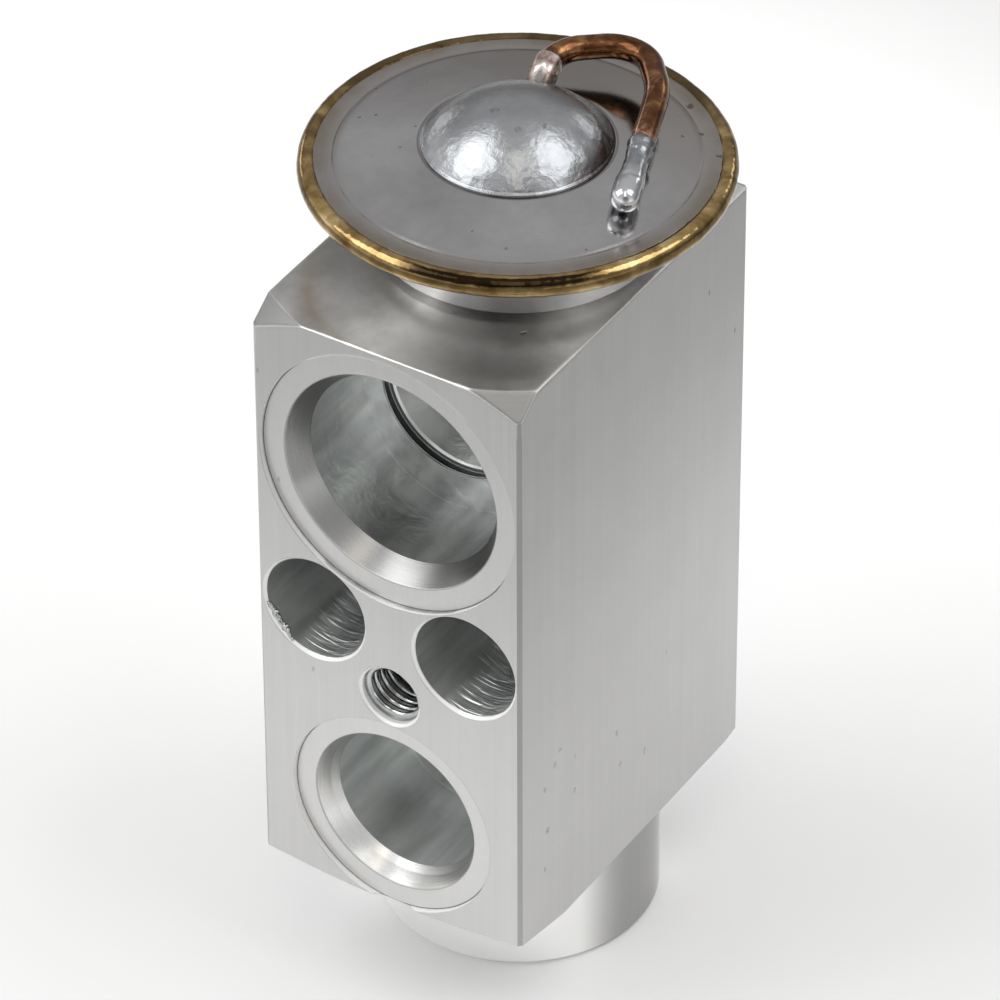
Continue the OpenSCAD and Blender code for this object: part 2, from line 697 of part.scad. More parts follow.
// Rod from the stem's socket through the seal to the ball, with a thin tip in the orifice
module push_rod() {
    r = rod_d / 2;
    tip_r = rod_tip_d / 2;
    neck_z = rod_z + rod_tip_len;
    color([0.74, 0.75, 0.76]) rotate_extrude() polygon([
        [0, rod_z], [tip_r, rod_z], [tip_r, neck_z], [r, neck_z + r - tip_r], [r, rod_top - 0.2],
        [r - 0.2, rod_top], [0, rod_top]
    ]);
}

module rod_seal() {
    color([0.1, 0.1, 0.1])
        round_ring(rod_d / 2 + rod_gap + rod_seal_t / 2, rod_seal_t / 2, pocket_z + rod_seal_t / 2 + fit);
}

// Toothed ring pressed into the seal pocket over the rod seal
module seal_keeper() {
    z = pocket_z + rod_seal_t + 2 * fit;
    color([0.7, 0.7, 0.72]) difference() {
        translate([0, 0, z]) cylinder(d = seal_pocket_d - 2 * fit, h = seal_keeper_t);
        translate([0, 0, z - over]) cylinder(r = rod_d / 2 + 0.25, h = seal_keeper_t + 2 * over);
        for (i = [0 : keeper_teeth - 1])
            rotate(360 * i / keeper_teeth) translate([seal_pocket_d / 2 - 0.45, -0.25, z - over])
                cube([over, 0.5, seal_keeper_t + 2 * over]);
    }
}

// Hard ring with the orifice and the bevel that the ball closes
module valve_seat() {
    color([0.76, 0.76, 0.74]) rotate_extrude() polygon([
        [seat_bevel_d / 2, chamber_top], [seat_d / 2, chamber_top], [seat_d / 2, seat_top - fit],
        [orifice_d / 2, seat_top - fit], [orifice_d / 2, chamber_top + bevel_h]
    ]);
}

module ball() {
    color([0.85, 0.85, 0.86]) translate([0, 0, ball_z]) sphere(d = ball_d);
}

// Turned holder that carries the ball and sits on the spring
module ball_holder() {
    head_r = holder_head_d / 2;
    flange_r = holder_flange_d / 2;
    stem_r = holder_stem_d / 2;
    stem_low = spring_top - holder_stem_len;
    color([0.72, 0.62, 0.36]) difference() {
        rotate_extrude() polygon([
            [0, stem_low], [stem_r - 0.4, stem_low], [stem_r, stem_low + 0.4], [stem_r, spring_top],
            [flange_r, spring_top], [flange_r, flange_top], [head_r, flange_top], [head_r, holder_top - 0.3],
            [head_r - 0.3, holder_top], [0, holder_top]
        ]);
        translate([0, 0, ball_z]) sphere(d = ball_d + 2 * fit);
    }
}

// Springy ring on the holder, with legs that rub on the chamber wall
module damper() {
    wall_r = chamber_d / 2 - 0.08;
    leg_x = wall_r - damper_t;
    z = flange_top + fit;
    color([0.7, 0.7, 0.7]) difference() {
        union() {
            translate([0, 0, z]) cylinder(r = holder_flange_d / 2 - 0.4, h = damper_t);
            for (i = [0 : damper_legs - 1]) rotate(360 * i / damper_legs + 45) intersection() {
                union() {
                    translate([0, -damper_leg_w / 2, z]) cube([wall_r, damper_leg_w, damper_t]);
                    translate([leg_x - 0.15, -damper_leg_w / 2, z]) cube([over, damper_leg_w, damper_leg_len]);
                }
                translate([0, 0, z - over]) cylinder(r = wall_r, h = damper_leg_len + 2 * over);
            }
        }
        translate([0, 0, z - over]) cylinder(r = holder_head_d / 2 + 0.03, h = damper_leg_len + 2 * over);
    }
}

module superheat_spring() {
    color([0.6, 0.62, 0.65]) translate([0, 0, spring_base + fit])
        coil(spring_d / 2, spring_wire / 2, spring_top - spring_base - 2 * fit, spring_turns);
}

// Hollow screw that loads the spring, with its hexagon socket and seal groove
module adjusting_screw() {
    thread_r = stub_bore_d / 2 - thread_gap;
    top_r = chamber_d / 2 - 0.08;
    low = screw_inset;
    neck_z = low + screw_thread_len;
    groove_z = low + screw_groove_z;
    color([0.72, 0.6, 0.36]) difference() {
        rotate_extrude() polygon([
            [0, low], [thread_r - 0.5, low], [thread_r, low + 0.5], [thread_r, neck_z - 0.4],
            [thread_r - 0.4, neck_z], [top_r, neck_z], [top_r, groove_z], [screw_groove_d / 2, groove_z],
            [screw_groove_d / 2, groove_z + screw_groove_w], [top_r, groove_z + screw_groove_w],
            [top_r, spring_base - 0.3], [top_r - 0.3, spring_base], [0, spring_base]
        ]);
        translate([0, 0, low - over]) cylinder(d = socket_af / cos(30), h = socket_depth + over, $fn = 6);
    }
}

module screw_seal() {
    section_r = (chamber_d / 2 - screw_groove_d / 2) / 2 - fit;
    color([0.1, 0.1, 0.1]) round_ring(
        (chamber_d + screw_groove_d) / 4, section_r, screw_inset + screw_groove_z + screw_groove_w / 2
    );
}

valve_body();
lower_shell();
upper_shell();
rim_weld();
diaphragm();
dome_cap();
charge_tube();
tube_collar();
tube_solder();
head_seal();
stop_plate();
push_rod();
rod_seal();
seal_keeper();
valve_seat();
ball();
ball_holder();
damper();
superheat_spring();
adjusting_screw();
screw_seal();
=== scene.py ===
"""Block expansion valve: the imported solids, dressed with materials and small pieces, in a plain studio."""

import math
from types import SimpleNamespace

import bmesh
import bpy
from mathutils import Matrix, Vector, noise


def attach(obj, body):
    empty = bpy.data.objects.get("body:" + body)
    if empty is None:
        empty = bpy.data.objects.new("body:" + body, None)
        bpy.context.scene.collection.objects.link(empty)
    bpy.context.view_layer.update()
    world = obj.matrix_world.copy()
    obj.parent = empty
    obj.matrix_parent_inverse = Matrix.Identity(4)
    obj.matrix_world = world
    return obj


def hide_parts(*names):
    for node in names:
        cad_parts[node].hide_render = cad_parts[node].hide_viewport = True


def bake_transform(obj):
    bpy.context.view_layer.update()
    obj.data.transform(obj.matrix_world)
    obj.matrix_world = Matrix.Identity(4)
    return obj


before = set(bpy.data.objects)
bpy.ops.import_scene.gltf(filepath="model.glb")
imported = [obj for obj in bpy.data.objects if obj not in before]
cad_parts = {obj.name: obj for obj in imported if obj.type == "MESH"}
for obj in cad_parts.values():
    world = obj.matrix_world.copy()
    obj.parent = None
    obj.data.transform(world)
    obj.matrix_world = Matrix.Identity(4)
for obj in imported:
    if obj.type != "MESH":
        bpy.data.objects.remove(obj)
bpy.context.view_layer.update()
scene = bpy.context.scene
MM = 0.001
TAU = 2 * math.pi

# Places, in mm: the block's top, front and back, the axes of the two front ports and of the
# fixing holes, and the sphere that the dome is part of
TOP, FRONT, BACK = 74.2, -21.8, 16.6
SUCTION_Z, INLET_Z = 60.2, 22.7
HOLE_X, HOLE_Z = 7.85, 43.15
DOME_Z, DOME_R = 77.44, 10.73

# Charge tube, in mm: its corners, its radius and the radius of its first bend
CORNERS = (
    (-1.4, 5.4, 85.42), (-3.1, 11.0, 86.02), (3.2, 16.2, 85.92), (8.1, 10.3, 86.02), (12.95, -3.3, 84.72),
)
ROUTE = [Vector(corner) for corner in CORNERS]
TUBE_R, FIRST_BEND = 1.15, 3.8

# Studio: what the lamps point at and how far off they stand, in m
LAMP_TARGET, LAMP_DISTANCE = Vector((0, 0, 0.083)), 1.15


def make_camera():
    """Long lens, its place and angles solved from edges and circles in the photo."""
    azimuth, elevation, roll = (math.radians(a) for a in (32.107, 37.832, -0.216))
    flat = math.cos(elevation)
    back = Vector((math.sin(azimuth) * flat, -math.cos(azimuth) * flat, math.sin(elevation)))
    right = Vector((math.cos(azimuth), math.sin(azimuth), 0))
    up = back.cross(right)
    turned_right = right * math.cos(roll) + up * math.sin(roll)
    turned_up = up * math.cos(roll) - right * math.sin(roll)
    axes = Matrix((turned_right, turned_up, back)).transposed().to_4x4()
    place = Vector((0.282955, -0.454079, 0.459825))
    data = bpy.data.cameras.new("camera")
    data.sensor_width = 36
    data.lens = 270
    data.clip_start = 0.01
    data.clip_end = 20
    camera = bpy.data.objects.new("camera", data)
    camera.matrix_world = Matrix.Translation(place) @ axes
    scene.collection.objects.link(camera)
    scene.camera = camera


def grey(tone):
    """The same value three times, as a grey or as a vector."""
    return (tone, tone, tone)


class Graph:
    """Short calls for building a material's nodes. Masks run from 0 to 1, and lengths are in m."""

    def __init__(self, name):
        self.mat = bpy.data.materials.new(name)
        self.mat.use_nodes = True
        self.start(self.mat.node_tree)
        out = self.nodes.new("ShaderNodeOutputMaterial")
        self.bsdf = self.nodes.new("ShaderNodeBsdfPrincipled")
        self.links.new(self.bsdf.outputs[0], out.inputs[0])
        self.coord = self.nodes.new("ShaderNodeTexCoord").outputs["Object"]
        self.normal = self.nodes.new("ShaderNodeNewGeometry").outputs["Normal"]

    def start(self, tree):
        self.nodes = tree.nodes
        self.links = tree.links
        self.nodes.clear()

    @classmethod
    def on(cls, tree):
        """The same calls on a world's nodes."""
        graph = cls.__new__(cls)
        graph.start(tree)
        graph.generated = graph.nodes.new("ShaderNodeTexCoord").outputs["Generated"]
        return graph

    def set(self, node, socket, value):
        target = node.inputs[socket]
        if isinstance(value, bpy.types.NodeSocket):
            self.links.new(value, target)
        else:
            target.default_value = value

    def shade(self, **sockets):
        """Set sockets of the surface, named with _ for each space."""
        for name, value in sockets.items():
            self.set(self.bsdf, name.replace("_", " "), value)

    def math(self, how, a, b=0.0, clamp=False):
        node = self.nodes.new("ShaderNodeMath")
        node.operation = how
        node.use_clamp = clamp
        self.set(node, 0, a)
        self.set(node, 1, b)
        return node.outputs[0]

    def chain(self, how, values):
        total = values[0]
        for value in values[1:]:
            total = self.math(how, total, value)
        return total

    def add(self, *values):
        return self.chain("ADD", values)

    def mul(self, *values):
        return self.chain("MULTIPLY", values)

    def most(self, *values):
        return self.chain("MAXIMUM", values)

    def least(self, *values):
        return self.chain("MINIMUM", values)

    def sub(self, a, b):
        return self.math("SUBTRACT", a, b)

    def clip(self, a, b):
        """Product, kept between 0 and 1."""
        return self.math("MULTIPLY", a, b, clamp=True)

    def abs(self, a):
        return self.math("ABSOLUTE", a)

    def flip(self, mask):
        return self.sub(1.0, mask)

    def swing(self, value, amount):
        """A noise that lies round 0.5, moved to lie round 0, and scaled."""
        return self.mul(self.sub(value, 0.5), amount)

    def length(self, a, b):
        return self.math("SQRT", self.add(self.mul(a, a), self.mul(b, b)))

    def vec(self, how, a, b=(0, 0, 0)):
        node = self.nodes.new("ShaderNodeVectorMath")
        node.operation = how
        self.set(node, 0, a)
        self.set(node, 1, b)
        return node.outputs["Value" if how in ("LENGTH", "DOT_PRODUCT") else "Vector"]

    def split(self, vector):
        node = self.nodes.new("ShaderNodeSeparateXYZ")
        self.set(node, 0, vector)
        return node.outputs

    def join(self, x, y, z):
        node = self.nodes.new("ShaderNodeCombineXYZ")
        for i, value in enumerate((x, y, z)):
            self.set(node, i, value)
        return node.outputs[0]

    def stretch(self, vector, sx, sy, sz):
        node = self.nodes.new("ShaderNodeMapping")
        self.set(node, "Vector", vector)
        self.set(node, "Scale", (sx, sy, sz))
        return node.outputs[0]

    def step(self, value, low, high, a=0.0, b=1.0):
        """a up to low, b from high on, smooth between them. low may be the larger."""
        node = self.nodes.new("ShaderNodeMapRange")
        node.clamp = True
        node.interpolation_type = "SMOOTHSTEP"
        for i, v in enumerate((value, low, high, a, b)):
            self.set(node, i, v)
        return node.outputs[0]

    def band(self, value, low, start, end, high):
        """1 from start to end, 0 below low and above high."""
        return self.mul(self.step(value, low, start), self.step(value, high, end))

    def ring(self, radius, place, width):
        """1 on a circle of this radius, falling to 0 at this width on both sides."""
        return self.step(self.abs(self.sub(radius, place)), width, width * 0.3)

    def noise(self, vector, scale, detail, rough, warp=0.0, colour=False):
        node = self.nodes.new("ShaderNodeTexNoise")
        self.set(node, "Vector", vector)
        self.set(node, "Scale", scale)
        self.set(node, "Detail", detail)
        self.set(node, "Roughness", rough)
        self.set(node, "Distortion", warp)
        return node.outputs["Color" if colour else 0]

    def cells(self, vector, scale):
        """Distance from the nearest of many scattered points."""
        node = self.nodes.new("ShaderNodeTexVoronoi")
        self.set(node, "Vector", vector)
        self.set(node, "Scale", scale)
        return node.outputs["Distance"]

    def nicks(self, edge, places):
        """1 inside small ragged spots, each given in mm as x, y, z, half width and half height."""
        ragged = self.noise(self.coord, 1500, 3, 0.7, colour=True)
        shift = self.vec("MULTIPLY", self.vec("SUBTRACT", ragged, grey(0.5)), grey(MM))
        place = self.vec("ADD", self.coord, shift)
        total = 0.0
        for x, y, z, wide, high in places:
            # Spots on the right side face are 0.4 mm deep, whatever their width
            deep = 0.4 if x > 13 else wide
            away = self.vec("SUBTRACT", place, (x * MM, y * MM, z * MM))
            scaled = self.vec("DIVIDE", away, (deep * MM, wide * MM, high * MM))
            total = self.most(total, self.step(self.vec("LENGTH", scaled), 1.0, 1.0 - edge))
        return total

    def edges(self, rounded, low=0.02, high=0.2):
        """1 where the rounded normal leaves the surface's own, that is along edges."""
        return self.step(self.flip(self.vec("DOT_PRODUCT", rounded, self.normal)), low, high)

    def ramp(self, value, *stops):
        node = self.nodes.new("ShaderNodeValToRGB")
        self.set(node, 0, value)
        items = node.color_ramp.elements
        while len(items) < len(stops):
            items.new(0.5)
        for item, (place, colour) in zip(items, stops):
            item.position = place
            item.color = (*colour, 1)
        return node.outputs[0]

    def mix(self, share, a, b):
        """Colour a, or b where share is 1."""
        node = self.nodes.new("ShaderNodeMix")
        node.data_type = "RGBA"
        self.set(node, 0, share)
        for socket, value in ((6, a), (7, b)):
            self.set(node, socket, (*value, 1) if isinstance(value, tuple) else value)
        return node.outputs[2]

    def blend(self, share, a, b):
        """Number a, or b where share is 1."""
        node = self.nodes.new("ShaderNodeMix")
        for socket, value in ((0, share), (2, a), (3, b)):
            self.set(node, socket, value)
        return node.outputs[0]

    def bump(self, height, strength, distance, normal=None):
        node = self.nodes.new("ShaderNodeBump")
        self.set(node, "Height", height)
        self.set(node, "Strength", strength)
        self.set(node, "Distance", distance)
        if normal is not None:
            self.set(node, "Normal", normal)
        return node.outputs[0]

    def bevel(self, radius):
        node = self.nodes.new("ShaderNodeBevel")
        node.samples = 8
        self.set(node, "Radius", radius)
        return node.outputs[0]


def bar_zones(g):
    """The block's coordinates, and masks for the kinds of surface that machining left on it."""
    x, y, z = g.split(g.coord)
    nx, ny, nz = [g.abs(part) for part in g.split(g.normal)]
    side, radius = g.abs(x), g.length(x, y)
    suction = g.length(x, g.sub(z, SUCTION_Z * MM))
    inlet = g.length(x, g.sub(z, INLET_Z * MM))
    # Depth behind the front or the back face, whichever is nearer
    depth = g.least(g.sub(y, FRONT * MM), g.sub(BACK * MM, y))
    # Heights of the suction ports, the fixing holes and the front liquid port
    upper = g.step(z, 0.049, 0.050)
    middle = g.band(z, 0.0370, 0.0376, 0.0486, 0.0492)
    lower = g.step(z, 0.036, 0.034)
    # Turned top, turned base and stub, all with rings round the valve's axis
    stub = g.step(z, 0.0119, 0.0118)
    base = g.mul(g.step(z, 0.0148, 0.0142), g.step(inlet, 0.01062, 0.01068))
    ends = g.most(g.step(z, 0.0706, 0.0712), base)
    turned = g.most(g.mul(g.step(nz, 0.35, 0.5), ends), stub)
    # Side faces, front and back faces, and the spot faces sunk into those
    outside = g.mul(g.step(nx, 0.98, 0.999), g.step(side, 0.0133, 0.0136))
    front = g.mul(g.step(ny, 0.85, 0.95), g.step(depth, 0.0009, 0.0008))
    face = g.most(outside, front)
    sunk = g.mul(front, g.step(depth, 0.0002, 0.0004))
    # All that is bored: the low walls of the spot faces, the ports' conical mouths and the rest
    hole = g.clip(g.step(depth, 0.00003, 0.00008), g.flip(g.most(turned, face)))
    hole = g.mul(hole, g.step(side, 0.01338, 0.01332))
    wall = g.mul(hole, g.step(g.add(depth, g.mul(middle, 0.00042)), 0.00075, 0.00062))
    cone = g.mul(hole, g.band(ny, 0.3, 0.4, 0.56, 0.62), g.step(depth, 0.0034, 0.0031))
    deep = g.clip(hole, g.flip(g.most(cone, wall)))
    return SimpleNamespace(
        x=x, y=y, z=z, nx=nx, ny=ny, side=side, radius=radius, suction=suction, inlet=inlet, upper=upper,
        middle=middle, lower=lower, stub=stub, turned=turned, outside=outside, front=front, face=face,
        sunk=sunk, hole=hole, wall=wall, cone=cone, deep=deep,
    )


def bar_brightness(g, at, cloud):
    """How light each kind of surface is, painted light and shade included, before grain, marks and the worn,
    highlit edges.
    """
    x, y, z = at.x, at.y, at.z
    # Painted shade: the faces grow darker towards the top, the side faces most
    height = g.step(z, 0.020, 0.072, 1.0, g.blend(at.outside, 0.80, 0.62))
    front = g.blend(at.front, 0.75, g.blend(at.sunk, 0.615, 0.665))
    bright = g.mul(g.blend(at.outside, front, 0.59), height)
    # Painted sheen: the lathe's rings on the top get a fan of light and dark sectors
    about = g.add(g.mul(g.math("ARCTAN2", y, x), 1 / TAU), 0.5)
    painted_fan = g.ramp(
        g.add(about, g.swing(cloud, 0.03)), (0.0, grey(0.50)), (0.10, grey(0.42)), (0.145, grey(0.44)),
        (0.205, grey(0.56)), (0.24, grey(0.86)), (0.272, grey(0.56)), (0.315, grey(0.40)),
        (0.355, grey(0.60)), (0.40, grey(1.0)), (0.47, grey(0.70)), (0.58, grey(0.50)), (0.75, grey(0.90)),
        (0.86, grey(0.50)), (1.0, grey(0.50)),
    )
    painted_fan = g.mul(painted_fan, g.step(at.radius, 0.0150, 0.0195, 0.86, 1.12), g.step(cloud, 0.3, 0.7, 0.85, 1.15))
    # Painted shade: the top's corner facets are kept dark
    facet = g.mul(at.turned, g.step(at.radius, 0.02332, 0.02342))
    bright = g.blend(at.turned, bright, g.blend(facet, painted_fan, 0.25))
    # Painted shade: the stub darkens towards its right end, and less towards its left
    sides = g.mul(g.step(x, 0.0108, 0.0132, 1.0, 0.40), g.step(x, -0.0132, -0.0108, 0.70, 1.0))
    bright = g.blend(at.stub, bright, sides)
    # Painted shade on the block's vertical corner chamfers
    corner = g.mul(g.step(at.side, 0.01335, 0.0134), g.step(at.nx, 0.3, 0.5), g.step(at.ny, 0.3, 0.5))
    bright = g.blend(corner, bright, 0.36)
    # Streaks in the bores, a shadow in the suction bore, and the liquid bore's lit left side
    streak = g.noise(g.stretch(g.coord, 330, 60, 330), 1, 3, 0.6)
    dull, light = g.blend(at.middle, 0.62, 0.46), g.blend(at.middle, 0.92, 0.78)
    bright = g.blend(at.deep, bright, g.step(streak, 0.3, 0.7, dull, light))
    shady = g.mul(at.deep, at.upper, g.step(z, 0.0585, 0.0545), g.step(x, -0.008, -0.003))
    bright = g.mul(bright, g.blend(shady, 1.0, 0.62))
    liquid = g.mul(at.deep, at.lower, g.step(y, 0.001, -0.001))
    across = g.step(x, -0.0066, -0.0045, 1.15, g.step(x, -0.003, 0.003, 0.80, 0.85))
    bright = g.clip(bright, g.blend(liquid, 1.0, across))
    mouth = g.step(z, 0.030, 0.045, 0.80, g.step(z, 0.052, 0.060, 0.36, 0.41))
    bright = g.blend(at.wall, g.blend(at.cone, bright, mouth), 0.95)
    # Painted highlight on the lip at the bottom of the suction bore, and painted shadow in the groove behind
    # it
    behind = g.mul(at.deep, at.upper, g.step(at.suction, 0.0086, 0.0084))
    bright = g.blend(behind, bright, g.blend(g.step(y, -0.0102, -0.0101), bright, 0.97))
    groove = g.mul(behind, g.band(y, -0.0100, -0.00985, -0.0091, -0.00895))
    return g.mul(bright, g.blend(groove, 1.0, 0.06))


def spot_face_shade_lines(g, at):
    """Painted shade: dark lines where the spot faces and the ports' mouths end."""
    rim = g.most(g.ring(at.suction, 0.01318, 0.00009), g.ring(at.inlet, 0.01048, 0.00008))
    mouth = g.most(g.ring(at.suction, 0.01100, 0.00008), g.ring(at.inlet, 0.00845, 0.00008))
    near = g.mul(g.band(at.y, -0.02135, -0.0213, -0.0209, -0.0208), g.flip(at.turned))
    return g.mul(g.most(rim, g.mul(mouth, 0.6)), near)


def drill_marks(g, at, mottle):
    """Height of the marks low inside the two fixing holes, and how strong they are."""
    sign = g.math("SIGN", at.x)
    across = g.sub(at.x, g.mul(sign, HOLE_X * MM))
    down = g.sub(at.z, HOLE_Z * MM)
    diagonal = g.add(across, down)
    slant = g.add(at.y, g.mul(diagonal, 0.12))
    height = g.noise(g.join(g.mul(slant, 1300), g.mul(diagonal, 190), sign), 1, 2, 0.5, 0.7)
    low = g.mul(g.step(across, -0.0032, -0.0005), g.step(down, -0.0008, -0.003))
    return height, g.mul(at.deep, at.middle, low, g.step(mottle, 0.3, 0.5, 0.4, 1.0))


def aluminium():
    """Extruded bar with turned ends, spot-faced ports and drilled holes."""
    g = Graph("aluminium")
    at = bar_zones(g)
    cloud = g.noise(g.coord, 150, 4, 0.6)
    mottle = g.noise(g.coord, 300, 3, 0.55, 0.5)
    # Lines along the extrusion, rings of the turned ends, feed lines of the bores
    lines = g.noise(g.stretch(g.coord, 7000, 7000, 45), 1, 4, 0.65)
    wide = g.noise(g.stretch(g.coord, 1100, 1100, 9), 1, 3, 0.55)
    rings = g.noise(g.join(g.mul(at.radius, 9000), 0, 0), 1, 3, 0.6)
    feed = g.noise(g.join(g.mul(at.y, 6500), 0, 0), 1, 3, 0.6)
    faced = g.noise(g.coord, 2600, 4, 0.7)
    grain = g.blend(at.sunk, g.blend(at.turned, g.blend(at.hole, lines, feed), rings), faced)
    # Small pits and gouges
    spots = g.mul(g.step(g.cells(g.stretch(g.coord, 1, 1, 0.5), 260), 0.055, 0.02), at.face)
    gouge = g.nicks(
        0.4,
        (
            (13.75, -16.0, 30.6, 0.3, 0.35), (13.75, -17.7, 28.9, 0.22, 0.4),
            (13.75, -17.2, 23.8, 0.2, 0.5), (13.75, -17.7, 19.5, 0.2, 0.4), (13.75, -12.5, 25.2, 0.28, 0.3),
            (13.75, -4.7, 22.6, 0.3, 0.3), (13.75, -5.3, 26.7, 0.2, 0.35), (13.75, -0.3, 21.2, 0.2, 0.5),
            (13.75, -15.1, 31.7, 0.25, 0.25), (8.3, -12.5, 74.2, 0.3, 0.3),
        ),
    )
    tone = g.add(g.swing(grain, 0.07), g.swing(wide, g.mul(at.face, 0.05)), g.swing(cloud, 0.05))
    bright = g.add(bar_brightness(g, at, cloud), tone)
    bright = g.sub(bright, g.mul(g.most(spots, gouge), 0.16))
    # Painted shade lines where the spot faces and the ports' mouths end
    bright = g.mul(bright, g.flip(g.mul(spot_face_shade_lines(g, at), 0.72)))
    # Edges round the top, lightened as wear and with a painted highlight
    top = g.step(at.z, 0.0700, 0.0712)
    edge = g.bevel(g.blend(top, 0.0001, g.step(cloud, 0.4, 0.6, 0.00035, 0.0006)))
    worn_highlit_edge = g.mul(g.edges(edge), top, g.flip(at.hole))
    lit = g.blend(g.mul(worn_highlit_edge, 0.9), bright, 0.98)
    green, blue = g.blend(at.deep, 0.998, 1.025), g.blend(at.deep, 0.985, 1.01)
    g.shade(Base_Color=g.join(lit, g.mul(lit, green), g.mul(lit, blue)))
    rim = g.mul(at.turned, g.step(at.radius, 0.0212, 0.0225))
    rough = g.blend(at.hole, 0.33, 0.30)
    finishes = (
        (at.turned, 0.30), (at.stub, 0.34), (g.mul(at.deep, at.lower), 0.40), (at.cone, 0.28),
        (at.wall, 0.48), (rim, 0.40),
    )
    for mask, value in finishes:
        rough = g.blend(mask, rough, value)
    bored = g.blend(at.middle, g.step(at.y, -0.001, 0.001, 0.75, 0.6), 0.68)
    metal = g.blend(at.wall, g.step(at.z, 0.049, 0.051, bored, 0.88), 0.18)
    g.shade(
        Roughness=g.add(rough, g.swing(grain, 0.10)),
        Metallic=g.blend(g.most(at.deep, at.wall), 1.0, metal),
        Anisotropic=g.mul(at.turned, g.flip(at.stub), 0.55),
        Tangent=g.vec("NORMALIZE", g.vec("CROSS_PRODUCT", g.coord, (0.0, 0.0, 1.0))),
    )
    wave = g.bump(mottle, g.mul(at.deep, g.blend(at.middle, 0.26, 0.05)), 0.0006, edge)
    drill, drilled = drill_marks(g, at, mottle)
    cut = g.bump(drill, drilled, 0.0007, wave)
    dent = g.bump(g.flip(gouge), 0.8, 0.0002, cut)
    strength = g.blend(at.turned, g.blend(at.hole, 0.10, 0.16), 0.10)
    g.shade(Normal=g.bump(grain, strength, 0.00005, dent))
    return g.mat


def disc_steel():
    """Pressed stainless sheet, polished, with a brown bloom towards the weld."""
    g = Graph("disc_steel")
    x, y, _ = g.split(g.coord)
    radius = g.length(x, y)
    rings = g.noise(g.join(g.mul(radius, 5000), 0, 0), 1, 3, 0.6)
    cloud = g.noise(g.coord, 140, 5, 0.62)
    smear = g.noise(g.stretch(g.coord, 220, 900, 300), 1, 3, 0.6)
    fine = g.noise(g.coord, 1900, 3, 0.7)
    border = g.step(g.add(radius, g.swing(cloud, 0.0016)), 0.0152, 0.0178)
    far = g.step(g.add(y, g.mul(x, 0.35)), 0.002, 0.016)
    bloom = g.mul(g.most(border, g.mul(far, 0.5)), g.step(cloud, 0.3, 0.6, 0.45, 1.0))
    steel = g.ramp(cloud, (0.28, (0.34, 0.332, 0.336)), (0.72, (0.47, 0.462, 0.465)))
    colour = g.mix(bloom, steel, (0.27, 0.235, 0.20))
    # Lines left by the press, and painted shade in a dark line round the dome's foot
    press_lines_and_foot_shade = g.most(
        g.mul(g.ring(radius, 0.0162, 0.00012), g.step(cloud, 0.4, 0.65)),
        g.mul(g.ring(radius, 0.0128, 0.00012), g.step(smear, 0.55, 0.75, 0.0, 0.3)),
        g.ring(radius, 0.00872, 0.00016),
    )
    colour = g.mix(g.mul(press_lines_and_foot_shade, 0.55), colour, (0.10, 0.09, 0.08))
    marks = g.nicks(
        0.3,
        (
            (-8.4, -5.9, 83.9, 0.16, 0.5), (-4.1, -7.5, 83.9, 0.12, 0.5), (-14.6, -2.8, 83.0, 0.14, 0.9),
            (11.1, 9.5, 83.2, 0.35, 0.5), (12.1, 11.0, 82.9, 0.3, 0.6), (15.2, 9.0, 82.7, 0.24, 0.5),
            (9.0, 14.2, 82.8, 0.6, 0.6), (13.4, -6.0, 82.9, 0.15, 0.8), (3.2, -12.6, 83.2, 0.12, 0.5),
            (-12.1, 4.4, 83.2, 0.18, 0.4),
        ),
    )
    specks = g.cells(g.coord, 330)
    spots = g.most(marks, g.mul(g.step(specks, 0.075, 0.03), g.step(fine, 0.4, 0.55)))
    colour = g.mix(g.mul(spots, 0.75), colour, (0.08, 0.07, 0.06))
    rough = g.add(g.blend(border, 0.13, 0.24), g.swing(smear, 0.12))
    g.shade(Base_Color=colour, Metallic=1.0, Roughness=rough)
    height = g.add(g.mul(rings, 0.3), g.sub(cloud, g.mul(spots, 0.6)))
    g.shade(Normal=g.bump(height, 0.12, 0.0001, g.bevel(0.0007)))
    return g.mat


